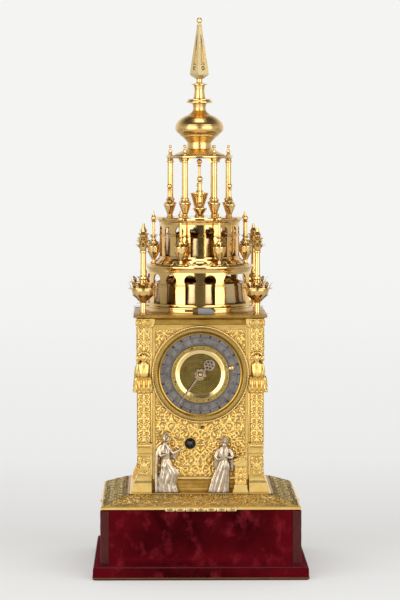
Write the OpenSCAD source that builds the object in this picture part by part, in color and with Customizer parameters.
// Tower table clock: a chased gilt case with a dial, two arcaded bell galleries, a pillared crown
// and a pierced spire, standing on a velvet-covered plinth.
// Millimetres, +Z up, the dial faces -Y, origin in the middle of the plinth's underside.

/* [Plinth] */
// Width of the slab that the clock stands on, over the velvet
slab_w = 210; // [200:1:230]
// Height of the slab
slab_h = 13.5; // [10:0.5:18]
// Rounding of the slab's upper edge
slab_round = 4; // [2:0.5:6]
// Width of the upright block of the plinth, over the velvet
block_w = 194.4; // [186:0.2:196]
// Height of the whole plinth
plinth_h = 68; // [60:0.5:76]
// Thickness of the velvet on the wood
velvet_t = 1.5; // [1:0.1:2.4]
// Width of the ribbon along each upright corner
ribbon_w = 9; // [6:0.5:12]
// Thickness of the ribbon and of the braid
ribbon_t = 0.5; // [0.4:0.1:0.9]

/* [Foot] */
// How far the gilt foot's lip stands out from the velvet under it
foot_out = 0.2; // [0:0.1:0.8]
// Width of the foot at its top
foot_top_w = 138.6; // [136:0.2:150]
// Height of the foot
foot_h = 12.4; // [9:0.2:18]
// Upright lip along the foot's lower edge
foot_lip = 2.2; // [1.2:0.1:3.5]
// Thickness of the cast and hammered brass
metal_t = 1.5; // [1:0.1:2]
// Length of the scalloped edging in the middle of each side
apron_w = 70; // [50:1:90]
// Scallops in each edging
scallops = 7; // [5:1:9]

/* [Case] */
// Width of the case over the pilasters
case_w = 124.4; // [122:0.2:128]
// Width of a pilaster
pilaster_w = 14.3; // [13:0.1:15.5]
// Depth of the panels behind the pilasters' faces
panel_inset = 2.7; // [2.2:0.1:3.4]
// Thickness of the panels
panel_t = 1.6; // [1:0.1:2.2]
// Height of the moulded base between the pilasters
base_h = 12.6; // [10:0.2:15]
// Thickness of the case's floor
floor_t = 3; // [2:0.2:4]
// Height of a pedestal's foot
pedestal_foot_h = 6.3; // [5:0.1:8]
// Height of the mouldings above it
pedestal_step_h = 10.8; // [9:0.1:13]
// Height of a pedestal's die
die_h = 18.8; // [15:0.2:23]
// Height of the mouldings over the die
neck_h = 8.3; // [7:0.1:10]
// Height of the beaded band
bead_h = 3.8; // [3:0.1:5]
// Beads along each side of the band
beads = 7; // [5:1:9]
// Height of a pilaster's shaft
shaft_h = 50; // [44:0.5:56]
// Height of the leafy bulge over the shaft
bulge_h = 14.2; // [12:0.2:17]
// How far the bulge stands out
bulge_out = 2.8; // [1.5:0.1:3.6]
// Height of the niche with the bust
niche_h = 26; // [24:0.2:29]
// Depth of the niche
niche_d = 4.4; // [3.4:0.1:5]
// Height of the foliate panel over the niche
leaf_panel_h = 24.4; // [20:0.2:28]
// Height of a capital
capital_h = 8.2; // [7:0.1:10]
// Height of the cornice over the capitals
cornice_h = 3.8; // [3:0.1:5]
// How far the cornice stands out from the pilasters
cornice_out = 3.3; // [2.5:0.1:4.5]
// Height of the frieze between the capitals
frieze_h = 6; // [4:0.2:7.5]
// Running gap around the back door
door_gap = 0.4; // [0.3:0.05:0.6]
// Diameter of the door's pivot pins
pivot_d = 1.2; // [1:0.1:1.4]

/* [Dial] */
// Height of the dial's middle over the foot
dial_rise = 116.3; // [114:0.1:118]
// Outer diameter of the bezel
bezel_d = 95.4; // [90:0.2:96]
// How far the bezel stands out of the panel
bezel_out = 5; // [4:0.2:5.6]
// Outer diameter of the silvered chapter ring
chapter_d = 78.8; // [74:0.2:82]
// Inner diameter of the chapter ring
chapter_inner_d = 57.4; // [54:0.2:62]
// Thickness of the chapter ring
chapter_t = 1.6; // [1.2:0.1:2]
// Diameter of the turning alarm disc
disc_d = 56.6; // [50:0.2:56.8]
// Thickness of the alarm disc
disc_t = 1.6; // [1.2:0.1:2]
// Diameter of the recess in the alarm disc
disc_recess_d = 41; // [34:0.5:44]
// Length of the hour hand from the middle to its tip
hand_l = 39; // [34:0.5:42]
// Diameter of the scalloped plate that carries the hand
hand_root_d = 11.8; // [10.4:0.2:13]
// Diameter of the pierced plate on the hand's tail
tail_d = 11; // [8:0.2:12]
// Distance of that plate's middle from the arbor
tail_l = 12.8; // [11.8:0.1:14]
// Turn of the tail against the hand
tail_turn = 7; // [0:1:12]
// Diameter of the hand's boss
boss_d = 8.8; // [7:0.2:11]
// Where the hour hand points, clockwise from twelve
hand_angle = 216; // [0:1:359]
// Where the alarm pointer points, clockwise from twelve
pointer_angle = 79; // [0:1:359]
// Winding hole's place across the front
winding_x = -10; // [-12:0.5:-8]
// Winding hole's height over the foot
winding_rise = 48; // [47:0.2:49]
// Diameter of the winding hole
winding_d = 10.8; // [9:0.2:12]
// Width across the winding square
square_w = 3.4; // [2.8:0.1:4]

/* [Statuettes] */
// Height of the left statuette
left_figure_h = 60; // [54:0.5:62]
// Height of the right statuette
right_figure_h = 56; // [50:0.5:60]
// Place of the left statuette across the front
left_figure_x = -32.5; // [-34:0.5:-31]
// Place of the right statuette across the front
right_figure_x = 18; // [15:0.5:20]
// Width of the lectern's pillar
lectern_w = 11.4; // [9:0.2:13]
// Height of the lectern
lectern_h = 35; // [30:0.5:40]
// Place of the lectern across the front
lectern_x = 39.4; // [38:0.2:39.6]

/* [Corner vases] */
// Distance of the corner vases from the middle, across and along
vase_place = 56; // [54:0.2:58]
// Diameter of a corner vase's lip
vase_lip_d = 30; // [26:0.5:32]
// Height of a corner vase
vase_h = 26.4; // [23:0.2:30]
// Diameter of a corner vase's stem
vase_stem_d = 5.8; // [5:0.1:7]
// Height of the finial that stands in a corner vase
corner_finial_h = 64; // [56:0.5:72]
// Diameter of that finial's shaft
corner_finial_d = 5; // [4:0.1:6]

/* [Galleries] */
// How far the ledge stands out from the lower gallery's wall
ledge_out = 3; // [2.4:0.1:5]
// Height of the ledge
ledge_h = 8; // [7:0.2:10]
// Diameter of the lower gallery
low_d = 103; // [101:0.2:105]
// Height of the lower gallery's wall
low_h = 32.5; // [31:0.5:36]
// How far the lower cornice stands out from the wall
low_cornice_out = 2.5; // [2:0.1:4]
// Height of each gallery's cornice
gallery_cornice_h = 7; // [6:0.2:8]
// Height of the skirt under the upper gallery
skirt_h = 7; // [5.5:0.2:9]
// How far the upper gallery's wall stands in from the lower one's
gallery_step = 11.7; // [10.8:0.1:12.8]
// Height of the upper gallery's wall
up_h = 32.8; // [31:0.5:36]
// How far the upper cornice stands out from the wall
up_cornice_out = 2.8; // [2:0.1:4]
// Thickness of the gallery walls
wall_t = 1.6; // [1.2:0.1:2]
// Bays in each gallery
bays = 16; // [12:2:18]
// Diameter of the lower gallery's arches
low_arch_d = 12; // [11:0.2:13]
// Diameter of the upper gallery's arches
up_arch_d = 9.6; // [9:0.2:10.4]
// Share of an arch's diameter that is open between the imposts
opening_share = 0.82; // [0.76:0.01:0.9]
// Turn of the upper gallery against the lower one
up_turn = 3; // [0:0.5:11]
// Distance of the gallery's finials from the lower cornice's edge
gallery_finial_in = 4.5; // [3.8:0.1:5.6]
// Height of those finials up to their ball
gallery_finial_h = 46; // [40:0.5:50]

/* [Crown] */
// Distance of the six columns' ring from the upper gallery's wall
column_in = 10.8; // [10.2:0.1:11.8]
// Height of the columns
column_h = 58.9; // [54:0.2:64]
// Diameter of a column's shaft
column_d = 5.8; // [5:0.1:6.4]
// Distance of the finials between the columns from the upper cornice's edge
rim_finial_in = 8.1; // [7.6:0.1:8.9]
// Height of the five short finials up to their ball
short_finial_h = 31; // [28:0.2:36]
// Height of the tall front finial up to its ball
tall_finial_h = 38.4; // [36:0.2:44]
// Height of the middle vase up to its ball
middle_vase_h = 55.2; // [51:0.2:56]
// Diameter of the middle vase's lip
middle_lip_d = 18.4; // [16:0.2:20]
// How far the crown's plate reaches past the columns' ring
crown_plate_out = 4.5; // [4:0.1:7]
// Thickness of the crown's plate
crown_plate_t = 2.6; // [2:0.1:3.4]
// Height of the small finials on the plate
plate_finial_h = 10; // [8:0.2:13]
// Widest diameter of the onion dome
dome_d = 48.4; // [44:0.2:52]
// Height of the onion dome with its drum and neck
dome_h = 50.6; // [47:0.2:55]
// Height of the turned stem over the dome
stem_h = 25.2; // [22:0.2:30]
// Widest diameter of the stem's disc
stem_disc_d = 26.2; // [22:0.2:28]
// Width of the pyramid across its flats
spire_w = 13.7; // [12:0.1:16]
// Height of the pyramid
spire_h = 53.6; // [48:0.2:60]
// Turn of the pyramid against the case
spire_turn = 35; // [0:1:45]
// Diameter of the ball on the spire
tip_ball_d = 5.8; // [4.8:0.1:7]

/* [Bells] */
// Wall thickness of the bells
bell_t = 2; // [1.6:0.1:2.6]
// Gap between each bell and its gallery
bell_gap = 4.8; // [4:0.1:6]
// Diameter of the bell post
post_d = 6; // [5:0.1:7]

/* [Movement] */
// Thickness of the movement's plates
plate_t = 1.6; // [1.2:0.1:2]
// Width of the movement's plates
plate_w = 100; // [98:0.5:104]
// Height of the movement's plates
plate_h = 138.6; // [137:0.2:139]
// Diameter of the pillars between the plates
pillar_d = 5; // [4:0.1:6]
// Tooth size of the great wheels, as a module
great_m = 0.8; // [0.78:0.01:0.82]
// Tooth size of the second wheels
second_m = 0.7; // [0.68:0.01:0.72]
// Tooth size of the third wheel
third_m = 0.6; // [0.58:0.01:0.62]
// Tooth size of the wheels behind the dial
motion_m = 1; // [0.99:0.01:1.01]
// Thickness of the wheels
wheel_t = 1.6; // [1.2:0.1:2]
// Diameter of the balance
balance_d = 40; // [36:0.5:41]
// Largest radius of the fusee
fusee_r = 20; // [18:0.2:21]
// Radius of the going barrel
barrel_r = 17; // [15:0.1:17.6]

/* [Hidden] */
$fn = 64;

// Small lengths that many pieces share
run = 0.05;                 // radial clearance of a pivot in its hole
side = 0.4;                 // clearance along an arbor
eps = 0.01;                 // overshoot of a cut

// Heights of the plinth, foot and case
z_foot = plinth_h + foot_h;
z_step = z_foot + pedestal_foot_h;
z_die = z_step + pedestal_step_h;
z_neck = z_die + die_h;
z_bead = z_neck + neck_h;
z_shaft = z_bead + bead_h;
z_bulge = z_shaft + shaft_h;
z_niche = z_bulge + bulge_h;
z_leaf = z_niche + niche_h;
z_capital = z_leaf + leaf_panel_h;
z_cornice = z_capital + capital_h;
z_case = z_cornice + cornice_h;
z_panel = z_foot + base_h;
z_frieze = z_cornice - frieze_h;

// Width of the foot at its lower edge
foot_w = block_w + 2 * foot_out;

// Half widths of the case
half = case_w / 2;
inner = half - pilaster_w;
face = half - panel_inset;
back = face - panel_t;
floor_z = z_foot + floor_t;

// Places on the front
dial_z = z_foot + dial_rise;
winding_z = z_foot + winding_rise;
bush_r = 3;
arbor_r = 2;
disc_gap = 0.5;
disc_front = face + disc_gap + disc_t;
hand_y = disc_front + 2.6;
hand_t = 0.8;

// Radii of the tower's rings
up_d = low_d - 2 * gallery_step;
ledge_r = low_d / 2 + ledge_out;
low_cornice_r = low_d / 2 + low_cornice_out;
up_cornice_r = up_d / 2 + up_cornice_out;
gallery_ring_r = low_cornice_r - gallery_finial_in;
column_ring_r = up_d / 2 - column_in;
rim_ring_r = up_cornice_r - rim_finial_in;
crown_plate_r = column_ring_r + crown_plate_out;

// Heights of the tower
z_low = z_case + ledge_h;
z_low_cornice = z_low + low_h;
z_low_roof = z_low_cornice + gallery_cornice_h;
z_up = z_low_roof + skirt_h;
z_up_cornice = z_up + up_h;
z_roof = z_up_cornice + gallery_cornice_h;
z_crown = z_roof + column_h;
z_dome = z_crown + crown_plate_t;
z_stem = z_dome + dome_h;
z_spire = z_stem + stem_h;
z_tip = z_spire + spire_h;
roof_t = 1.4;

// Bells and hammers
low_bell_r = low_d / 2 - wall_t - bell_gap;
up_bell_r = up_d / 2 - wall_t - bell_gap;
low_bell_top = z_low_cornice - 2.5;
up_bell_top = z_up_cornice - 5;
shoulder_r = post_d / 2 + 1.6;
nut_h = 2;
hour_pivot = [0, low_bell_r * 0.6];
quarter_pivot = [0, up_bell_r * 0.54];
hammer_arbor_r = 1.5;
bridge_t = 2;

// Plates of the movement, each by its front face
plate_y = [-46, -4, 38];
plate_top = floor_z + plate_h;

// Tooth counts
great_n = 70;
wheel_n = 60;
pinion_n = 10;
motion_n = 12;
idler_n = 40;
hour_n = 48;

// Arbors of the going train, each [x, z]
function polar(from, r, a) = [from[0] + r * cos(a), from[1] + r * sin(a)];
function mesh_r(m, n1, n2) = m * (n1 + n2) / 2;
great_at = [winding_x, winding_z];
second_a = 62;
third_a = 100;
escape_a = 80;
second_at = polar(great_at, mesh_r(great_m, great_n, pinion_n), second_a);
third_at = polar(second_at, mesh_r(second_m, wheel_n, pinion_n), third_a);
escape_at = polar(third_at, mesh_r(third_m, wheel_n, pinion_n), escape_a);
dial_at = [0, dial_z];
barrel_at = [winding_x + fusee_r + barrel_r + 3.6, winding_z - 6];
// The idler stands where its two meshing circles cross
to_idler = mesh_r(motion_m, motion_n, idler_n);
idler_to_hour = mesh_r(motion_m, idler_n, hour_n);
hour_span = norm(dial_at - great_at);
hour_a = atan2(dial_at[1] - great_at[1], dial_at[0] - great_at[0]);
idler_a = hour_a - acos((to_idler ^ 2 + hour_span ^ 2 - idler_to_hour ^ 2) / (2 * to_idler * hour_span));
idler_at = polar(great_at, to_idler, idler_a);
idler_hour_a = atan2(dial_at[1] - idler_at[1], dial_at[0] - idler_at[0]);
// Arbors of the striking train
strike_at = [winding_x + 2, winding_z - 2];
strike_a = 55;
fly_a = 95;
strike_second_at = polar(strike_at, mesh_r(great_m, great_n, pinion_n), strike_a);
fly_at = polar(strike_second_at, mesh_r(second_m, wheel_n, pinion_n), fly_a);
pivot_r = 0.9;
shaft_r = 1.4;

// Verge and balance
verge_r = 1;
verge_y = -36.5;
crown_r = 10;
crown_y = -30;
crown_tooth = 3;
balance_z = plate_top + 4;

// Points along an ellipse's arc
function arc(c, rx, rz, a0, a1, n) =
    [for (i = [0:n]) let (a = a0 + (a1 - a0) * i / n) [c[0] + rx * cos(a), c[1] + rz * sin(a)]];

// Outline of a gear: upright flanks below the pitch circle, teeth drawn in to a narrow tip above it
function gear_points(m, n) =
    let (r = m * n / 2, tip = r + 0.9 * m, root = r - 1.1 * m)
    [for (i = [0:n - 1], p = [[root, -0.24], [r, -0.22], [tip, -0.08], [tip, 0.08], [r, 0.22], [root, 0.24]])
        let (a = (i + p[1]) * 360 / n) [p[0] * cos(a), p[0] * sin(a)]];

// A flat outline in the X-Z plane, given thickness t from y0 backwards
module upright(y0, t) {
    translate([0, y0 + t, 0]) rotate([90, 0, 0]) linear_extrude(t) children();
}

// A cylinder along Y from y0 to y1, standing at [x, z]
module rod_y(at, r, y0, y1) {
    translate([at[0], y1, at[1]]) rotate([90, 0, 0]) cylinder(r = r, h = y1 - y0);
}

// A shape turned about the Y axis at [x, z]; its profile is [radius, y]
module turned_y(at, y0) {
    translate([at[0], y0, at[1]]) rotate([-90, 0, 0]) rotate_extrude() children();
}

// A square moulded block: the outline is [half width, z], and its corners are mitred
module mitred(outline) {
    n = len(outline);
    sides = concat(outline, [for (i = [n - 1:-1:0]) [-outline[i][0], outline[i][1]]]);
    wide = 2 * max([for (p = outline) p[0]]) + 2;
    intersection() {
        translate([0, wide / 2, 0]) rotate([90, 0, 0]) linear_extrude(wide) polygon(sides);
        rotate([0, 0, 90]) translate([0, wide / 2, 0]) rotate([90, 0, 0]) linear_extrude(wide) polygon(sides);
    }
}

// Children at the four corners or the four sides
module four() {
    for (q = [0:3]) rotate([0, 0, 90 * q]) children();
}

// A turned piece: its profile is [radius, z], closed along the axis
module turned(profile) {
    rotate_extrude() polygon(concat([[0, profile[0][1]]], profile, [[0, profile[len(profile) - 1][1]]]));
}

// A square block with round upright corners and a round upper edge
module soft_block(w, z0, z1, r) {
    h = w / 2;
    for (s = [[h - r, h], [h, h - r]]) translate([-s[0], -s[1], z0]) cube([2 * s[0], 2 * s[1], z1 - r - z0]);
    translate([r - h, r - h, z0]) cube([w - 2 * r, w - 2 * r, z1 - z0]);
    four() {
        translate([h - r, h - r, z0]) cylinder(r = r, h = z1 - r - z0);
        translate([h - r, h - r, z1 - r]) sphere(r = r);
        translate([h - r, r - h, z1 - r]) rotate([-90, 0, 0]) cylinder(r = r, h = w - 2 * r);
    }
}

module block(w, z0, z1) {
    translate([-w / 2, -w / 2, z0]) cube([w, w, z1 - z0]);
}

// Plinth

module slab_core() soft_block(slab_w - 2 * velvet_t, 0, slab_h - velvet_t, slab_round - velvet_t);

module plinth_slab() color("saddlebrown") slab_core();

module plinth_block() color("peru") block(block_w - 2 * velvet_t, slab_h - velvet_t, plinth_h - velvet_t);

velvet_hem = 0.6;
module velvet_cover() color("darkred") difference() {
    union() {
        soft_block(slab_w, velvet_hem, slab_h, slab_round);
        soft_block(block_w, slab_h - slab_round, plinth_h, velvet_t);
    }
    slab_core();
    block(block_w - 2 * velvet_t, slab_h - velvet_t - eps, plinth_h - velvet_t);
}

// Ribbon on the eight faces beside the block's corners, and the braid round the slab's lower edge
braid_h = 2.6;
module corner_ribbons() color("sienna") {
    four() translate([block_w / 2, block_w / 2, slab_h]) difference() {
        translate([-ribbon_w, -ribbon_w, 0]) cube([ribbon_w + ribbon_t, ribbon_w + ribbon_t, plinth_h - slab_h - 1.5]);
        translate([-ribbon_w - 1, -ribbon_w - 1, -1]) cube([ribbon_w + 1, ribbon_w + 1, plinth_h]);
    }
    difference() {
        block(slab_w + 2 * ribbon_t, velvet_hem, velvet_hem + braid_h);
        block(slab_w, 0, slab_h);
    }
}

// Foot

module foot_skirt() color("goldenrod") difference() {
    mitred([[foot_w / 2, plinth_h], [foot_w / 2, plinth_h + foot_lip], [foot_top_w / 2, z_foot]]);
    mitred([[foot_w / 2 - metal_t, plinth_h - 1], [foot_w / 2 - metal_t, plinth_h + foot_lip - metal_t],
            [foot_top_w / 2 - metal_t, z_foot - metal_t]]);
}

edging_t = 0.8;
edging_h = 3.6;
module foot_edging() color("gold") four() {
    pitch = apron_w / scallops;
    translate([0, -foot_w / 2, 0]) upright(-edging_t, edging_t) intersection() {
        union() {
            translate([-apron_w / 2, plinth_h + foot_lip - 1]) square([apron_w, 1]);
            for (i = [0:scallops - 1])
                translate([(i + 0.5) * pitch - apron_w / 2, plinth_h + foot_lip - 1]) circle(r = pitch / 2);
        }
        translate([-apron_w / 2, plinth_h + foot_lip - edging_h]) square([apron_w, edging_h]);
    }
}

// Case

// The four corner blocks that the pilasters fill
module corner_blocks(reach, z0, z1) {
    four() translate([reach, reach, z0]) cube([half, half, z1 - z0]);
}

module case_base() color("goldenrod") difference() {
    h = base_h;
    mitred([[half + 1.4, z_foot], [half + 1.4, z_foot + 0.24 * h], [half + 0.4, z_foot + 0.32 * h],
            [half + 0.4, z_foot + 0.6 * h], [half - 0.9, z_foot + 0.68 * h], [half - 0.9, z_foot + 0.9 * h],
            [face, z_panel]]);
    block(2 * back - 2, floor_z, z_panel + 1);
    corner_blocks(inner, z_foot - 1, z_panel + 1);
    translate([door_x, door_y, floor_z]) cylinder(d = pivot_d + 2 * run, h = base_h);
}

// The raised border of a panel and the panel itself, standing at the front
border_w = 2.4;
border_t = 0.7;
border_half = inner - 1.2;
module panel(border) {
    upright(-face, panel_t) translate([-inner, z_panel]) square([2 * inner, z_frieze - z_panel]);
    upright(-face - border, border) difference() {
        translate([-border_half, z_panel]) square([2 * border_half, z_capital - z_panel]);
        translate([border_w - border_half, z_panel + border_w])
            square([2 * (border_half - border_w), z_capital - z_panel - 2 * border_w]);
    }
}

pin_hole_r = 1.7;
pin_hole_drop = 52.6;
rim_w = 1;
module front_panel() color("gold") difference() {
    union() {
        difference() {
            panel(border_t);
            rod_y(dial_at, bezel_d / 2 + run, -face - border_t - 1, -face);
        }
        rod_y(great_at, winding_d / 2 + rim_w, -face - 0.9, -back);
        rod_y(dial_at, bush_r, -disc_front - 0.2, -back);
    }
    rod_y(great_at, winding_d / 2, -face - 2, -back + 1);
    rod_y(dial_at, arbor_r + run, -disc_front - 1, -back + 1);
    rod_y([2, dial_z - pin_hole_drop], pin_hole_r, -face - 2, -back + 1);
}

module side_panels() color("gold") for (q = [1, 3]) rotate([0, 0, 90 * q]) panel(border_t);

// The door turns on two pins near its left edge, seen from the front
door_inset = 1.6;
door_x = -inner + door_gap + door_inset;
door_y = back + panel_t / 2;
knob_x = inner - 5;
module back_door() color("gold") {
    difference() {
        union() {
            translate([-inner + door_gap, back, z_panel + door_gap])
                cube([2 * (inner - door_gap), panel_t, z_frieze - z_panel - 2 * door_gap]);
            translate([-inner + border_w + door_gap, face, z_panel + border_w])
                cube([2 * (inner - border_w - door_gap), border_t, z_frieze - z_panel - 2 * border_w]);
        }
        translate([-inner + 2 * border_w, face, z_panel + 2 * border_w])
            cube([2 * (inner - 2 * border_w), border_t + 1, z_frieze - z_panel - 4 * border_w]);
    }
    for (end = [[z_panel - 2.4, 4], [z_frieze - door_gap - 1, 3]])
        translate([door_x, door_y, end[0]]) cylinder(d = pivot_d, h = end[1]);
    translate([knob_x, face, (z_panel + z_frieze) / 2]) rotate([-90, 0, 0])
        rotate_extrude() polygon([[0, 0], [1.2, 0], [1.2, 2.2], [2.4, 3], [2.4, 4.2], [1.4, 5], [0, 5]]);
}

// Outline of a pilaster, outer side up and inner side down, as [half width, z]
function pilaster_outline() = concat(
    [[half + 4.8, z_foot], [half + 4.8, z_step], [half + 3.6, z_step + 0.8], [half + 3.2, z_step + 0.3 * pedestal_step_h],
     [half + 1.8, z_step + 0.5 * pedestal_step_h], [half + 1.4, z_step + 0.74 * pedestal_step_h],
     [half - 0.8, z_die], [half - 1, z_neck], [half - 0.6, z_neck + 0.2 * neck_h],
     [half + 0.2, z_neck + 0.36 * neck_h], [half - 0.3, z_neck + 0.7 * neck_h], [half + 0.2, z_bead - 0.4],
     [half - 0.6, z_bead], [half - 0.6, z_shaft], [half - 1, z_shaft], [half - 0.6, z_bulge]],
    arc([half - 0.6, z_bulge + bulge_h / 2], bulge_out + 0.4, bulge_h / 2, -80, 80, 6),
    [[half - niche_d, z_niche], [half - niche_d, z_leaf], [half - 0.4, z_leaf], [half - 0.2, z_capital],
     [half - 0.8, z_capital + 0.2], [half - 0.4, z_capital + 0.6 * capital_h], [half, z_cornice],
     [inner - 3.4, z_cornice], [inner - 3.2, z_capital + 0.5 * capital_h], [inner - 1, z_capital],
     [inner, z_capital], [inner, z_leaf], [inner + 1.4, z_leaf], [inner + 1.4, z_niche]],
    arc([inner + 1.4, z_bulge + bulge_h / 2], bulge_out - 0.6, bulge_h / 2, 100, 260, 6),
    [[inner + 1.4, z_bulge], [inner + 1.6, z_shaft], [inner - 1, z_shaft], [inner - 1, z_bead],
     [inner - 0.9, z_neck + 0.36 * neck_h], [inner - 0.7, z_neck], [inner - 0.7, z_die + 0.6],
     [inner, z_die], [inner, z_foot]]);

// One pilaster in the front right corner, as the crossing of two extruded outlines
module pilaster() {
    wide = 2 * half;
    intersection() {
        upright(-wide, wide) polygon(pilaster_outline());
        rotate([0, 0, -90]) upright(0, wide) polygon([for (p = pilaster_outline()) [p[0], p[1]]]);
    }
}

bead_r = bead_h / 2;
module corner_pilasters() color("gold") difference() {
    union() {
        four() pilaster();
        four() for (i = [0:beads - 1]) for (s = [1, -1])
            translate([s * (half - bead_r - i * (pilaster_w - 2 * bead_r) / (beads - 1)), -(half - 0.6), z_bead + bead_r])
                sphere(r = bead_r * 0.62, $fn = 16);
    }
    // The panels and the door pass behind the pilasters
    translate([0, 0, z_foot]) {
        for (s = [[inner, face], [face, inner]])
            translate([-s[0], -s[1], -1]) cube([2 * s[0], 2 * s[1], z_case]);
        translate([-inner, 0, base_h]) cube([2 * inner, half + 8, z_case]);
    }
}

// A bust that rises from foliage in each niche
bust_r = 5.2;
bust_back = half - niche_d;
module bust() {
    body_h = niche_h * 0.62;
    head_r = 3;
    translate([0, 0, z_niche]) intersection() {
        union() {
            turned([[3.6, 0], [4.6, 2], [4.2, body_h * 0.4], [bust_r, body_h * 0.8], [4.8, body_h * 0.95], [2, body_h + 0.8]]);
            translate([0, 0, body_h]) cylinder(r = 1.7, h = head_r + 1);
            translate([0, 0, body_h + head_r + 1.4]) sphere(r = head_r);
            translate([0, 0.6, body_h + head_r + 2]) sphere(r = head_r);
        }
        translate([-bust_r - 1, -bust_r - 1, 0]) cube([2 * bust_r + 2, bust_r + 1, niche_h]);
    }
}
module term_busts() color("gold") four() for (s = [1, -1])
    translate([s * (half - niche_d - (pilaster_w - niche_d - 1.4) / 2), -bust_back, 0]) bust();

module case_cornice() color("goldenrod") difference() {
    mitred([[face + 0.8, z_frieze], [half - 1.4, z_frieze + 0.3], [half - 1.4, z_cornice - 1],
            [half - 0.2, z_cornice], [half + 1.4, z_cornice + 0.28 * cornice_h],
            [half + cornice_out, z_cornice + 0.36 * cornice_h], [half + cornice_out, z_case]]);
    block(2 * back - 2, z_frieze - 1, z_case - top_t);
    block(2 * top_half, z_case - top_t - eps, z_case + 1);
    corner_blocks(inner, z_frieze - 1, z_cornice);
    // The capitals' inner volutes, on the front and on the sides
    intersection() {
        corner_blocks(inner - 3.4, z_frieze - 1, z_cornice);
        translate([-case_w, -case_w, z_frieze - 1]) cube([2 * case_w, case_w + inner, frieze_h + 1]);
    }
    translate([door_x, door_y, z_frieze - 1]) cylinder(d = pivot_d + 2 * run, h = frieze_h);
}

top_t = 2;
top_half = back - 0.2;
module top_plate() color("goldenrod") difference() {
    block(2 * top_half, z_case - top_t, z_case);
    translate([hour_pivot[0], hour_pivot[1], z_case - top_t - 1]) cylinder(r = hammer_arbor_r + run, h = top_t + 2);
}

// Dial

module bezel() color("gold") turned_y(dial_at, -face) polygon([
    [chapter_d / 2 + run, 0], [chapter_d / 2 + run, -chapter_t - 0.6], [chapter_d / 2 + 1.2, -chapter_t - 1],
    [chapter_d / 2 + 3, -bezel_out + 0.4], [chapter_d / 2 + 4, -bezel_out], [bezel_d / 2 - 2.6, -bezel_out + 0.2],
    [bezel_d / 2 - 1.8, -bezel_out + 1.4], [bezel_d / 2 - 0.6, -bezel_out + 1.8], [bezel_d / 2, -1.6], [bezel_d / 2, 0]]);

module chapter_ring() color("lightgray") turned_y(dial_at, -face) polygon([
    [chapter_inner_d / 2, 0], [chapter_inner_d / 2, -chapter_t], [chapter_d / 2, -chapter_t], [chapter_d / 2, 0]]);

pointer_l = 7.6;
module alarm_disc() color("gold") {
    r = disc_d / 2;
    turned_y(dial_at, -face - disc_gap) polygon([
        [bush_r + run, 0], [bush_r + run, -disc_t + 0.5], [disc_recess_d / 2, -disc_t + 0.5],
        [disc_recess_d / 2 + 3.4, -disc_t - 0.2], [r - 4, -disc_t], [r, -disc_t], [r, 0]]);
    translate([dial_at[0], -disc_front, dial_at[1]]) rotate([0, pointer_angle, 0]) {
        upright(-0.8, 0.8 + eps) polygon([[-2.6, r - 3], [2.6, r - 3], [1, r + 1.2], [0, r + pointer_l - 1.5], [-1, r + 1.2]]);
        rod_y([0, r - 1], 1.5, -1.8, 0);
    }
}

// The hand is a plain needle on a scalloped plate, and its tail ends in a pierced rosette
module tail_place() rotate(-tail_turn) translate([0, -tail_l]) children();

module hand_outline() {
    lobe_r = hand_root_d * 0.13;
    difference() {
        union() {
            polygon([[-0.9, 0], [0.9, 0], [0.5, hand_l * 0.9], [0, hand_l], [-0.5, hand_l * 0.9]]);
            circle(d = hand_root_d - 1.6 * lobe_r);
            for (i = [0 : 7]) rotate(22.5 + i * 45) translate([0, hand_root_d / 2 - lobe_r]) circle(r = lobe_r);
            tail_place() {
                circle(d = tail_d);
                translate([-0.9, 0]) square([1.8, tail_l]);
            }
        }
        tail_place() {
            circle(d = tail_d * 0.14);
            for (i = [0 : 5]) rotate(i * 60) translate([0, tail_d * 0.3]) circle(d = tail_d * 0.2);
        }
    }
}

module hour_hand() color("silver") {
    translate([dial_at[0], 0, dial_at[1]]) rotate([0, hand_angle, 0]) {
        upright(-hand_y - hand_t, hand_t) hand_outline();
        turned_y([0, 0], -hand_y - hand_t) polygon([
            [0, -0.9], [1.8, -0.9], [2.2, -0.3], [2.2, 0], [boss_d / 2 - 0.6, 0], [boss_d / 2, 0.5],
            [boss_d / 2, hand_t + 0.9], [boss_d / 2 - 1, hand_t + 1.6], [0, hand_t + 1.6]]);
    }
}

// Statuettes: a robe of stacked folds, a cloak, arms and a bare head

module ball_at(p, r) {
    translate(p) sphere(r = r, $fn = 14);
}

module oval_at(p, rx, ry) {
    translate(p) scale([rx, ry, 1]) cylinder(r = 1, h = 0.6, $fn = 20);
}

figure_y = -(half + 4.2);
module left_statuette() color("silver") translate([left_figure_x, figure_y, z_foot]) {
    h = left_figure_h;
    hull() { oval_at([0, 0, 0], 11, 2.6); oval_at([-1, 0.3, h * 0.3], 8, 3); }
    hull() { oval_at([-1, 0.3, h * 0.3], 8, 3); oval_at([-2.5, 0.6, h * 0.62], 4.4, 3.2); }
    hull() { oval_at([-2.5, 0.6, h * 0.62], 4.4, 3.2); oval_at([-3, 0.8, h * 0.82], 5, 3); }
    hull() { oval_at([-9.5, 0.6, h * 0.1], 1.8, 1.8); ball_at([-6, 1.6, h * 0.8], 2.6); }
    hull() { ball_at([6, -0.4, h * 0.22], 3); ball_at([10.6, 0.4, h * 0.36], 1.6); ball_at([3, 0.6, h * 0.5], 2.6); }
    hull() { ball_at([-1, 0, h * 0.78], 2.2); ball_at([6, -1, h * 0.66], 1.7); }
    hull() { ball_at([6, -1, h * 0.66], 1.7); ball_at([11.6, -1.2, h * 0.72], 1.3); }
    hull() { ball_at([-3, 0.8, h * 0.84], 1.8); ball_at([-3, 0.4, h - 4], 2.6); }
    ball_at([-3, 0.2, h - 3.1], 3.1);
}

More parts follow.
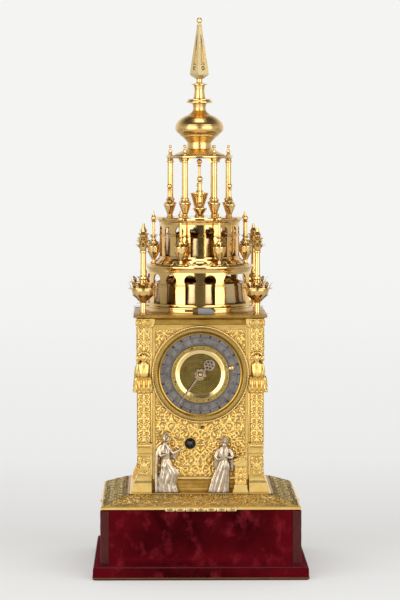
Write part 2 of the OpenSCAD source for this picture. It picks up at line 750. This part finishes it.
module right_statuette() color("silver") translate([right_figure_x, figure_y, z_foot]) {
    h = right_figure_h;
    hull() { oval_at([0, 0, 0], 11.4, 2.6); oval_at([1, 0.3, h * 0.26], 9, 3); }
    hull() { oval_at([1, 0.3, h * 0.26], 9, 3); oval_at([2, 0.6, h * 0.56], 6.4, 3.4); }
    hull() { oval_at([2, 0.6, h * 0.56], 6.4, 3.4); oval_at([2.6, 0.8, h * 0.78], 6.4, 3.2); }
    hull() { ball_at([-7, 0.4, h * 0.12], 2.2); ball_at([-3, 1.4, h * 0.76], 2.8); }
    hull() { ball_at([-1.6, 0, h * 0.76], 2.4); ball_at([-2, -1.4, h * 0.58], 2.1); }
    hull() { ball_at([-2, -1.4, h * 0.58], 2.1); ball_at([5, -2.2, h * 0.6], 1.7); }
    hull() { ball_at([7, 0.2, h * 0.76], 2.4); ball_at([11, -0.6, h * 0.62], 1.9); }
    hull() { ball_at([11, -0.6, h * 0.62], 1.9); ball_at([13, -1.2, h * 0.5], 1.4); }
    hull() { ball_at([4, 0.8, h * 0.8], 2.4); ball_at([4.6, 0.4, h - 5], 3.2); }
    ball_at([4.6, 0.2, h - 3.7], 3.7);
}

lectern_y = figure_y;
module lectern() color("goldenrod") translate([lectern_x, lectern_y, z_foot]) {
    w = lectern_w;
    d = 5;
    foot = 7.6;
    board_t = 2.4;
    for (s = [[w + 4, 0, 2.2], [w + 2.8, 2.2, 3.6], [w + 1.6, 3.6, foot]])
        translate([-s[0] / 2, -d / 2, s[1]]) cube([s[0], d, s[2] - s[1]]);
    upright(-d / 2, d) polygon([[-w / 2, foot], [w / 2, foot], [w / 2, lectern_h - 2], [-w / 2, lectern_h - 7]]);
    upright(-d / 2 - 0.6, d + 0.6)
        polygon([[-w / 2 - 0.8, lectern_h - 7.4], [w / 2 - 1, lectern_h - 2.4], [w / 2 - 2, lectern_h - 2.4 + board_t], [-w / 2 - 1.4, lectern_h - 7.4 + board_t]]);
}

// Corner vases and their finials

module at_corners() {
    for (x = [-1, 1], y = [-1, 1]) translate([x * vase_place, y * vase_place, z_case]) children();
}

vase_seat = vase_h - 4.4;
seat_r = 3.2;
module corner_vases() color("gold") at_corners() difference() {
    s = vase_stem_d / 2;
    lip = vase_lip_d / 2;
    turned([[s + 1.2, 0], [s + 1.2, 1], [s, 2], [s, 0.44 * vase_h], [s + 0.9, 0.48 * vase_h], [s + 0.3, 0.52 * vase_h],
            [lip * 0.42, 0.6 * vase_h], [lip * 0.66, 0.74 * vase_h], [lip * 0.76, 0.9 * vase_h],
            [lip * 0.75, vase_h - 1.2], [lip, vase_h - 0.7], [lip, vase_h]]);
    translate([0, 0, vase_seat]) rotate_extrude()
        polygon([[0, 0], [seat_r + 1, 0], [lip * 0.6, 2.6], [lip * 0.64, 5], [0, 5]]);
}

module corner_finials() color("gold") at_corners() translate([0, 0, vase_seat]) {
    h = corner_finial_h;
    s = corner_finial_d / 2;
    turned([[seat_r, 0], [seat_r, 0.04 * h], [4.6, 0.08 * h], [4.6, 0.14 * h], [3.3, 0.19 * h], [3.8, 0.21 * h],
            [3.8, 0.24 * h], [s + 0.2, 0.26 * h], [s, 0.6 * h], [s + 1, 0.615 * h], [s + 1, 0.635 * h],
            [s + 0.4, 0.65 * h], [5, 0.72 * h], [3.8, 0.76 * h], [4.6, 0.8 * h], [3, 0.85 * h],
            [3.6, 0.88 * h], [2, 0.93 * h], [0.8, h]]);
    for (level = [[0.72, 8.2, 0], [0.82, 7.4, 45]]) for (q = [0:3])
        rotate([0, 0, 45 * q * 2 + level[2]]) translate([1, 0, level[0] * h]) rotate([0, 84, 0])
            cylinder(r1 = 1.3, r2 = 0.3, h = level[1] - 1, $fn = 16);
}

// Galleries

slot_w = 66;
slot_h = 2.6;
slot_d = 3;
module tower_ledge() color("goldenrod") difference() {
    r = ledge_r;
    h = ledge_h;
    translate([0, 0, z_case]) rotate_extrude() polygon([
        [low_d / 2 - 8, 0], [r, 0], [r, 0.1 * h], [r - 0.8, 0.16 * h], [r - 0.8, 0.56 * h], [r - 0.2, 0.62 * h],
        [r - 0.2, 0.74 * h], [r - 2, 0.86 * h], [r - 2.4, h], [low_d / 2 - 8, h]]);
    // The slot that the latch bolt slides in
    translate([-slot_w / 2, -r - 1, z_case + 0.28 * h]) cube([slot_w, slot_d + 1, slot_h]);
    translate([bolt_x - bolt_w / 2 - bolt_travel - 0.6, -r - 1, z_case + bolt_lift - 0.1])
        cube([bolt_w + bolt_travel + 1, bolt_depth + 1.2, bolt_h + 0.2]);
}

bolt_x = 5.6;
bolt_w = 15.6;
bolt_h = 5.8;
bolt_lift = 0.3;
bolt_travel = 4.6;
bolt_depth = 2.4;
module latch_bolt() color("gray") {
    y = -ledge_r;
    upright(y, bolt_depth) translate([bolt_x - bolt_w / 2, z_case + bolt_lift])
        polygon([[0, 0], [bolt_w, 0], [bolt_w, bolt_h * 0.45], [bolt_w - 3.4, bolt_h], [0, bolt_h]]);
}

// A wall with horseshoe arches between imposts
module arcade(d, z0, h, arch_d, turn) {
    r = d / 2;
    spring = z0 + h - arch_d / 2 - 2;
    impost = spring - arch_d * 0.36;
    sill = z0 + 1.2;
    stem = arch_d * opening_share;
    difference() {
        translate([0, 0, z0]) rotate_extrude() polygon([
            [r - wall_t, 0], [r + 0.7, 0], [r + 0.7, 0.8], [r, 1.2], [r, impost - z0 - 1.2], [r + 0.7, impost - z0 - 0.8],
            [r + 0.7, impost - z0], [r, impost - z0 + 0.4], [r, h], [r - wall_t, h]]);
        for (i = [0:bays - 1]) rotate([0, 0, (i + 0.5) * 360 / bays + turn]) upright(-r - 2, wall_t + 5) {
            translate([0, spring]) circle(d = arch_d);
            translate([-stem / 2, sill]) square([stem, spring - sill]);
        }
        children();
    }
}

// One pilaster of the lower gallery, in front on the right, is lost
lost_bay = 45;
module lower_arcade() color("gold") arcade(low_d, z_low, low_h, low_arch_d, 0) {
    r = low_d / 2;
    gap = 2 * r * sin(180 / bays);
    rotate([0, 0, lost_bay]) upright(-r - 2, wall_t + 5)
        translate([-gap / 2, z_low + 1.2]) square([gap, low_h - 3.2]);
}

module upper_arcade() color("gold") arcade(up_d, z_up, up_h, up_arch_d, up_turn);

module lower_roof() color("gold") difference() {
    r = low_cornice_r;
    u = up_d / 2;
    h = gallery_cornice_h;
    translate([0, 0, z_low_cornice]) rotate_extrude() polygon([
        [low_d / 2 - wall_t - 1, 0], [low_d / 2 + 0.2, 0], [low_d / 2 + 0.6, 0.3 * h], [r - 1.6, 0.46 * h], [r - 1.2, 0.56 * h],
        [r, 0.66 * h], [r, 0.84 * h], [r - 1, h], [u + 5, h], [u + 5, h + 0.5], [u + 3.6, h + 1.2],
        [u + 2.6, h + 0.6 * skirt_h], [u + 0.9, h + 0.9 * skirt_h], [u + 0.9, h + skirt_h], [u - wall_t - 1, h + skirt_h],
        [u - wall_t - 1, h], [low_shoulder, h], [low_shoulder, h - roof_t], [low_d / 2 - wall_t - 1, h - roof_t]]);
    translate([quarter_pivot[0], quarter_pivot[1], z_low_roof - roof_t - 1])
        cylinder(r = hammer_arbor_r + run, h = roof_t + 2);
}

low_shoulder = shoulder_r + 0.4;

module upper_roof() color("gold") {
    r = up_cornice_r;
    u = up_d / 2;
    h = gallery_cornice_h;
    translate([0, 0, z_up_cornice]) rotate_extrude() polygon([
        [u - wall_t - 1, 0], [u + 0.2, 0], [u + 0.5, 0.3 * h], [r - 1.2, 0.46 * h], [r - 0.9, 0.6 * h], [r, 0.68 * h],
        [r, 0.9 * h], [r - 0.6, h], [0, h], [0, h - roof_t], [u - wall_t - 1, h - roof_t]]);
}

// A ball on a pin, at the end of a finial
module ball_tip(z, r) {
    translate([0, 0, z]) sphere(r = r);
}

module gallery_finials() color("gold") for (i = [0:7]) rotate([0, 0, 22.5 + 45 * i])
    translate([0, -gallery_ring_r, z_low_roof]) {
        h = gallery_finial_h;
        turned([[3.2, 0], [3.2, 0.8], [1.8, 1.8], [1.6, 0.1 * h], [2.8, 0.16 * h], [5.7, 0.27 * h], [6.5, 0.385 * h],
                [6.5, 0.402 * h], [2.9, 0.415 * h], [3, 0.5 * h], [1.6, 0.54 * h], [1.3, 0.92 * h], [2, 0.93 * h], [1, 0.95 * h]]);
        ball_tip(h, 2.5);
        translate([0, 0, h + 2]) cylinder(r1 = 0.9, r2 = 0.3, h = 4.4);
    }

// Crown

module crown_columns() color("gold") for (i = [0:5]) rotate([0, 0, 30 + 60 * i])
    translate([0, -column_ring_r, z_roof]) {
        s = column_d / 2;
        h = column_h;
        turned([[2.9, 0], [2.9, 1], [2.2, 1.8], [2.5, 0.06 * h], [3, 0.08 * h], [5.6, 0.215 * h], [6, 0.23 * h], [6, 0.246 * h],
                [4, 0.258 * h], [3.6, 0.275 * h], [4.4, 0.292 * h], [4.4, 0.308 * h], [s + 0.4, 0.32 * h], [s, 0.34 * h],
                [s - 0.1, 0.92 * h], [s + 0.7, 0.93 * h], [s + 0.7, 0.945 * h], [s, 0.955 * h], [s + 0.4, h]]);
    }

module rim_finials() color("gold") for (i = [0:5]) rotate([0, 0, 60 * i])
    translate([0, -rim_ring_r, z_roof]) {
        tall = i == 0;
        h = tall ? tall_finial_h : short_finial_h;
        lip = tall ? 6.9 : 6;
        lip_z = tall ? 9.1 : 12.2;
        s = tall ? 1.8 : 1.4;
        turned([[2.6, 0], [2.6, 0.8], [1.9, 1.6], [2.2, 0.24 * lip_z], [lip - 1, 0.82 * lip_z], [lip, lip_z], [lip, lip_z + 0.6],
                [3, lip_z + 1.2], [2.4, lip_z + 2.4], [3.4, lip_z + 4.6], [2.6, lip_z + 6.4], [s + 0.4, lip_z + 8.4],
                [s, h - 4.4], [s + 0.8, h - 4], [s + 0.8, h - 3.4], [s * 0.6, h - 2.4]]);
        ball_tip(h, tall ? 2.9 : 2.5);
    }

module middle_vase() color("gold") translate([0, 0, z_roof]) {
    h = middle_vase_h;
    lip = middle_lip_d / 2;
    turned([[5, 0], [5, 1.4], [4.2, 2], [4.2, 0.157 * h], [lip - 0.4, 0.41 * h], [lip, 0.42 * h], [lip, 0.434 * h], [4, 0.45 * h],
            [1.8, 0.5 * h], [1.35, 0.54 * h], [1.35, 0.91 * h], [2.4, 0.92 * h], [1.2, 0.94 * h], [1.2, h]]);
    ball_tip(h, 2.8);
}

module crown_plate() color("gold") difference() {
    r = crown_plate_r;
    ring = column_ring_r;
    drop = 4.4;
    corner = 3.6;
    span = ring - column_d - 3.8;
    translate([0, 0, z_crown]) rotate_extrude() union() {
        polygon([[0, 0], [r - 1.4, 0], [r, 0.3 * crown_plate_t], [r, 0.75 * crown_plate_t], [r - 0.8, crown_plate_t], [0, crown_plate_t]]);
        translate([ring - 0.9, -drop]) square([1.8, drop]);
    }
    // Round-topped openings between the columns
    for (i = [0:5]) rotate([0, 0, 60 * i]) upright(-r, r * 0.6) {
        translate([-span / 2, z_crown - drop - 1]) square([span, drop + 1 - corner]);
        for (s = [-1, 1]) translate([s * (span / 2 - corner), z_crown - corner]) circle(r = corner - 0.3);
        translate([corner - span / 2, z_crown - drop - 1]) square([span - 2 * corner, drop + 0.7]);
    }
    for (i = [0:5]) rotate([0, 0, 30 + 60 * i]) translate([0, -ring, z_crown - drop - 1])
        cylinder(r = column_d / 2 + 0.9, h = drop + 1);
}

module plate_finials() color("goldenrod") for (i = [0:5]) rotate([0, 0, 30 + 60 * i])
    translate([0, -column_ring_r, z_dome]) {
        h = plate_finial_h;
        turned([[2, 0], [2, 0.1 * h], [1.4, 0.16 * h], [2, 0.34 * h], [1.6, 0.5 * h], [0.8, 0.58 * h], [0.7, 0.74 * h]]);
        ball_tip(0.86 * h, 1.5);
    }

module onion_dome() color("gold") translate([0, 0, z_dome]) {
    r = dome_d / 2;
    h = dome_h;
    waist = 0.525 * h;
    turned(concat(
        [[r + 0.8, 0], [r + 0.4, 0.016 * h], [0.545 * r, 0.122 * h], [0.512 * r, 0.128 * h], [0.5 * r, 0.17 * h],
         [0.49 * r, 0.25 * h], [0.53 * r, 0.276 * h], [0.7 * r, 0.362 * h], [0.79 * r, 0.382 * h], [0.8 * r, 0.404 * h]],
        arc([0, waist], r, 0.19 * h, -33, 0, 4),
        arc([0, waist], r, 0.306 * h, 8, 62, 7),
        [[0.36 * r, 0.834 * h], [0.275 * r, 0.88 * h], [0.262 * r, 0.94 * h], [0.285 * r, h]]));
}

module spire_stem() color("gold") translate([0, 0, z_stem]) {
    r = stem_disc_d / 2;
    h = stem_h;
    turned([[0.52 * r, 0], [0.54 * r, 0.02 * h], [r, 0.07 * h], [r, 0.105 * h], [0.88 * r, 0.16 * h], [0.88 * r, 0.2 * h],
            [0.46 * r, 0.24 * h], [0.39 * r, 0.5 * h], [0.38 * r, 0.58 * h], [0.44 * r, 0.755 * h], [0.635 * r, 0.78 * h],
            [0.635 * r, 0.806 * h], [0.44 * r, 0.815 * h], [0.23 * r, 0.87 * h], [0.22 * r, h]]);
}

module spire() color("gold") translate([0, 0, z_spire]) {
    w = spire_w / 2;
    h = spire_h;
    tip = 1.6;
    slot_foot = 0.27 * h;
    slot_top = 0.82 * h;
    rotate([0, 0, spire_turn]) difference() {
        mitred([[2.2, 0], [0.6 * w, 0.03 * h], [0.93 * w, 0.07 * h], [w, 0.1 * h], [tip, h]]);
        for (q = [0, 1]) rotate([0, 0, 90 * q]) upright(-w - 1, 2 * w + 2) {
            translate([0, 0.2 * h]) circle(r = 0.34 * w);
            polygon([[-0.36 * w, slot_foot - 0.02 * h], [0, slot_foot], [0.36 * w, slot_foot - 0.02 * h], [0.05 * w, slot_top], [-0.05 * w, slot_top]]);
        }
    }
    translate([0, 0, h - 0.6]) turned([[tip, 0], [2.9, 0.5], [2.9, 1], [1.2, 1.6], [1.2, 2.4]]);
    translate([0, 0, h + 1.6 + tip_ball_d / 2]) sphere(d = tip_ball_d);
}

// Bells

module bell(r, z0, z1) {
    h = z1 - z0;
    hole = post_d / 2 + run;
    outer = r - 1.4;
    translate([0, 0, z0]) rotate_extrude() polygon(concat(
        [[r - bell_t - 0.6, 0], [r, 0], [r, 1], [r - 0.8, 0.2 * h], [r - 1.4, 0.6 * h]],
        arc([0, 0.62 * h], outer, 0.38 * h, 8, acos(hole / outer), 8),
        arc([0, 0.62 * h], outer - bell_t, 0.38 * h - bell_t, acos(hole / (outer - bell_t)), 8, 8),
        [[r - 1.4 - bell_t, 0.6 * h], [r - 0.8 - bell_t, 0.2 * h]]));
}

module lower_bell() color("khaki") bell(low_bell_r, z_low + 1.4, low_bell_top);
module upper_bell() color("khaki") bell(up_bell_r, z_up + 1.2, up_bell_top);

module bell_post() color("dimgray") {
    seat = bell_t + 0.14;
    turned([[shoulder_r + 3, z_case], [shoulder_r + 3, z_case + 1.6], [shoulder_r, z_case + 2], [shoulder_r, low_bell_top - seat],
            [post_d / 2, low_bell_top - seat], [post_d / 2, z_low_cornice + 1], [shoulder_r, z_low_cornice + 1.2],
            [shoulder_r, up_bell_top - seat], [post_d / 2, up_bell_top - seat], [post_d / 2, z_roof - roof_t]]);
}

module bell_nuts() color("dimgray") for (z = [low_bell_top, up_bell_top]) translate([0, 0, z]) difference() {
    cylinder(d = post_d + 6, h = nut_h, $fn = 6);
    translate([0, 0, -1]) cylinder(d = post_d + 2 * run, h = nut_h + 2);
}

// A hammer on an upright arbor: it swings outwards against the bell's inner wall
module hammer(at, z0, z1, collar_z, reach, head, rest_a) {
    translate([at[0], at[1], 0]) {
        translate([0, 0, z0]) cylinder(r = hammer_arbor_r, h = z1 - z0);
        translate([0, 0, collar_z]) cylinder(r = hammer_arbor_r + 1, h = 2);
        translate([0, 0, z1 - 3]) cylinder(r = hammer_arbor_r + 1, h = 3.6);
        rotate([0, 0, rest_a]) {
            translate([0, 0, z1 - 1.4]) rotate([0, 90, 0]) cylinder(r = 0.9, h = reach);
            translate([reach, 0, z1 - 1.4]) sphere(r = head);
        }
        children();
    }
}

module hour_hammer() color("dimgray")
    hammer(hour_pivot, plate_top + 0.4, z_low + 8, plate_top + bridge_t + side, low_bell_r * 0.31, 3, 20)
        translate([0, -1, plate_top + bridge_t + side]) cube([14, 2, 2]);

module quarter_hammer() color("dimgray")
    hammer(quarter_pivot, z_low_roof - roof_t - 1.2, z_up + 8, z_low_roof + side, up_bell_r * 0.3, 2.4, 45);

// Movement

// Pivot holes of every arbor that a plate carries
module pivot_holes(places, r) {
    for (p = places) rod_y(p, r + run, plate_y[0] - 1, plate_y[2] + plate_t + 1);
}

module movement_plates() color("khaki") {
    half_w = plate_w / 2;
    for (i = [0:2]) difference() {
        upright(plate_y[i], plate_t) translate([-half_w, floor_z]) square([plate_w, plate_h]);
        if (i == 0) rod_y(great_at, pipe_r + run, plate_y[0] - 1, plate_y[0] + plate_t + 1);
        if (i < 2) pivot_holes([barrel_at, second_at, third_at], pivot_r);
        if (i == 1) pivot_holes([escape_at], pivot_r);
        if (i == 1) rod_y(great_at, shaft_r + run, plate_y[1] - 1, plate_y[1] + plate_t + 1);
        if (i == 0) rod_y(idler_at, pivot_r + run, plate_y[0] - 1, plate_y[0] + plate_t + 1);
        if (i > 0) pivot_holes([strike_at, strike_second_at, fly_at], pivot_r);
        if (i == 0) rod_y(dial_at, arbor_r + run, plate_y[0] - 1, plate_y[0] + plate_t + 1);
    }
}

pillar_inset = 5;
module movement_pillars() color("khaki") for (x = [-1, 1], z = [0, 1], bay = [0, 1])
    rod_y([x * (plate_w / 2 - pillar_inset), z == 0 ? floor_z + pillar_inset : plate_top - pillar_inset],
          pillar_d / 2, plate_y[bay] + plate_t, plate_y[bay + 1]);

module top_bridge() color("khaki") difference() {
    translate([-8, plate_y[1], plate_top]) cube([16, plate_y[2] + plate_t - plate_y[1], bridge_t]);
    translate([hour_pivot[0], hour_pivot[1], plate_top - 1]) cylinder(r = hammer_arbor_r + run, h = bridge_t + 2);
}

// A wheel with four crossings, phased so that a tooth stands at angle a
module wheel(at, m, n, y0, t, a, hub) {
    r = m * n / 2;
    rim = r - 2.8 * m - 1;
    translate([at[0], 0, at[1]]) upright(y0, t) difference() {
        rotate(a) polygon(gear_points(m, n));
        if (rim > hub + 6) for (q = [0:3]) rotate(90 * q + 45) intersection() {
            difference() { circle(r = rim); circle(r = hub + 2.4); }
            translate([hub + 1, 0]) rotate(-45) translate([1.2, 1.2]) square(r);
        }
    }
}

module pinion(at, m, n, y0, t, a) {
    translate([at[0], 0, at[1]]) upright(y0, t) rotate(a) polygon(gear_points(m, n));
}

// An arbor between two plates, with thin pivots in their holes
module arbor(at, bay) {
    y0 = plate_y[bay];
    y1 = plate_y[bay + 1];
    rod_y(at, pivot_r, y0 + 0.2, y1 + plate_t - 0.2);
    rod_y(at, shaft_r, y0 + plate_t + side, y1 - side);
}

great_y = plate_y[0] + plate_t + 1;
motion_y = plate_y[0] - side - 2.6;
pipe_r = 4;
great_bore = shaft_r + run;
module great_wheel() color("khaki") difference() {
    union() {
        wheel(great_at, great_m, great_n, great_y, wheel_t, second_a, 6);
        rod_y(great_at, pipe_r, motion_y - 0.2, great_y + wheel_t);
        pinion(great_at, motion_m, motion_n, motion_y, 2.4, idler_a);
    }
    rod_y(great_at, great_bore, motion_y - 2, great_y + wheel_t + 1);
}

fusee_y = great_y + wheel_t + side;
fusee_l = 24;
fusee_turns = 8;
module fusee() color("khaki") {
    pitch = fusee_l / fusee_turns;
    fall = (fusee_r - 12) / fusee_turns;
    rod_y(great_at, shaft_r, motion_y - 1, plate_y[1] + plate_t - 0.2);
    translate([great_at[0], 0, great_at[1]]) upright(-face + 1.4, motion_y - 0.8 + face - 1.4)
        square(square_w, center = true);
    turned_y(great_at, fusee_y) polygon(concat([[0, 0], [fusee_r + 1, 0]],
        [for (i = [0:fusee_turns - 1]) each [[fusee_r + 1 - i * fall, 0.8 + i * pitch], [fusee_r - i * fall, 1.2 + i * pitch],
                                             [fusee_r - i * fall, 2.4 + i * pitch]]],
        [[12, fusee_l + 0.6], [0, fusee_l + 0.6]]));
}

module going_barrel() color("khaki") {
    arbor(barrel_at, 0);
    rod_y(barrel_at, barrel_r, fusee_y, fusee_y + fusee_l + 2);
    for (y = [fusee_y, fusee_y + fusee_l + 1]) rod_y(barrel_at, barrel_r + 0.8, y, y + 1);
}

idler_rot = idler_a + 180 + 180 / idler_n;
module idler_wheel() color("khaki") {
    wheel(idler_at, motion_m, idler_n, motion_y, 2, idler_rot, 3);
    rod_y(idler_at, 3, motion_y - 1, motion_y + 2);
    rod_y(idler_at, pivot_r, motion_y, plate_y[0] + plate_t - 0.2);
}

hour_rot = idler_hour_a + 180 + (idler_hour_a - idler_rot) * idler_n / hour_n + 180 / hour_n;
module hour_wheel() color("khaki") {
    wheel(dial_at, motion_m, hour_n, motion_y, 2, hour_rot, 4);
    rod_y(dial_at, 4, motion_y - 1.4, motion_y + 2);
    rod_y(dial_at, arbor_r, -hand_y + 1.6, plate_y[0] + plate_t - 0.2);
}

back_wheel_y = plate_y[1] - 8;
module second_wheel() color("khaki") {
    arbor(second_at, 0);
    pinion(second_at, great_m, pinion_n, great_y - 0.4, wheel_t + 1.6, second_a + 180 + 180 / pinion_n);
    wheel(second_at, second_m, wheel_n, back_wheel_y, wheel_t, third_a, 3);
    rod_y(second_at, 3, back_wheel_y - 2, back_wheel_y + wheel_t);
}

third_y = plate_y[1] - 16;
module third_wheel() color("khaki") {
    arbor(third_at, 0);
    pinion(third_at, second_m, pinion_n, back_wheel_y - 1, wheel_t + 2, third_a + 180 + 180 / pinion_n);
    wheel(third_at, third_m, wheel_n, third_y, wheel_t, escape_a, 3);
    rod_y(third_at, 3, third_y - 1.6, third_y + wheel_t);
}

crown_teeth = 15;
crown_w = 1.4;
nose_y = crown_y - crown_tooth - 1.6;
nose_t = 1.6;
module escape_wheel() color("khaki") {
    rod_y(escape_at, pivot_r, nose_y + 0.2, plate_y[1] + plate_t - 0.2);
    rod_y(escape_at, shaft_r, nose_y + nose_t + side, plate_y[1] - side);
    pinion(escape_at, third_m, pinion_n, third_y - 1, wheel_t + 2, escape_a + 180 + 180 / pinion_n);
    // The crown wheel: a ring of saw teeth that point to the front
    turned_y(escape_at, crown_y) polygon([[0, 0], [shaft_r + 2, 0], [shaft_r + 2, 1.6], [crown_r - crown_w, 1.6],
                                          [crown_r - crown_w, 0], [crown_r, 0], [crown_r, 3], [0, 3]]);
    for (i = [0:crown_teeth - 1]) translate([escape_at[0], crown_y, escape_at[1]]) rotate([0, i * 360 / crown_teeth, 0])
        translate([crown_r - crown_w, 0, 0]) rotate([90, 0, 90])
            linear_extrude(crown_w) polygon([[0.2, -1.1], [0.2, 1.1], [-crown_tooth, -1.1]]);
}

// The foot and the top bearing of the verge, and the nose that carries the crown wheel's front pivot
potence_t = 2;
potence_w = 6;
verge_foot = escape_at[1] - crown_r - 6;
module verge_potence() color("khaki") difference() {
    union() {
        for (z = [verge_foot - potence_t, plate_top]) {
            y0 = z > verge_foot ? plate_y[0] : plate_y[0] + plate_t;
            translate([escape_at[0] - potence_w / 2, y0, z]) cube([potence_w, verge_y + 3 - y0, potence_t]);
        }
        translate([escape_at[0] + 2.4, plate_y[0] + plate_t, escape_at[1] - 2]) cube([2.4, nose_y + nose_t - plate_y[0] - plate_t, 4]);
        translate([escape_at[0] - 2.4, nose_y, escape_at[1] - 2]) cube([5, nose_t, 4]);
    }
    for (z = [verge_foot - potence_t + 0.6, plate_top - 1])
        translate([escape_at[0], verge_y, z]) cylinder(r = verge_r + run, h = potence_t + 2);
    rod_y(escape_at, pivot_r + run, nose_y - 1, nose_y + nose_t + 1);
}

pallet_l = 2.8;
module balance() color("silver") translate([escape_at[0], verge_y, 0]) {
    rim = balance_d / 2;
    translate([0, 0, verge_foot - potence_t + 0.8]) cylinder(r = verge_r, h = balance_z + 2 - verge_foot + potence_t - 0.8);
    for (s = [[-1, 0], [1, 100]]) translate([0, 0, escape_at[1] + s[0] * (crown_r - 0.7)]) rotate([0, 0, s[1] - 50])
        translate([-0.7, 0, -1]) cube([1.4, pallet_l, 2]);
    translate([0, 0, balance_z]) {
        difference() {
            cylinder(r = rim, h = 1.8);
            translate([0, 0, -1]) cylinder(r = rim - 2.4, h = 4);
        }
        translate([1 - rim, -1, 0]) cube([2 * rim - 2, 2, 1.8]);
        cylinder(r = 2.6, h = 2.4);
    }
}

strike_y = plate_y[1] + plate_t + 1;
module strike_barrel() color("khaki") {
    arbor(strike_at, 1);
    wheel(strike_at, great_m, great_n, strike_y, wheel_t, strike_a, 6);
    rod_y(strike_at, 17, strike_y + wheel_t, strike_y + 26);
    for (i = [0:7]) rod_y(polar(strike_at, 24.6, 45 * i + 10), 0.9, strike_y, strike_y + wheel_t + 4);
}

fly_y = plate_y[2] - 8;
module strike_wheel() color("khaki") {
    arbor(strike_second_at, 1);
    pinion(strike_second_at, great_m, pinion_n, strike_y - 0.4, wheel_t + 1.6, strike_a + 180 + 180 / pinion_n);
    wheel(strike_second_at, second_m, wheel_n, fly_y, wheel_t, fly_a, 3);
    rod_y(strike_second_at, 3, fly_y - 2, fly_y + wheel_t);
}

fly_r = 12;
module fly() color("khaki") {
    arbor(fly_at, 1);
    pinion(fly_at, second_m, pinion_n, fly_y - 1, wheel_t + 2, fly_a + 180 + 180 / pinion_n);
    translate([fly_at[0] - fly_r, strike_y + 6, fly_at[1] - 0.5]) cube([2 * fly_r, 14, 1]);
}

plinth_slab();
plinth_block();
velvet_cover();
corner_ribbons();
foot_skirt();
foot_edging();
case_base();
front_panel();
side_panels();
back_door();
corner_pilasters();
term_busts();
case_cornice();
top_plate();
bezel();
chapter_ring();
alarm_disc();
hour_hand();
left_statuette();
right_statuette();
lectern();
corner_vases();
corner_finials();
tower_ledge();
latch_bolt();
lower_arcade();
lower_roof();
gallery_finials();
upper_arcade();
upper_roof();
crown_columns();
rim_finials();
middle_vase();
crown_plate();
plate_finials();
onion_dome();
spire_stem();
spire();
lower_bell();
upper_bell();
bell_post();
bell_nuts();
hour_hammer();
quarter_hammer();
movement_plates();
movement_pillars();
top_bridge();
going_barrel();
fusee();
great_wheel();
idler_wheel();
hour_wheel();
second_wheel();
third_wheel();
escape_wheel();
verge_potence();
balance();
strike_barrel();
strike_wheel();
fly();
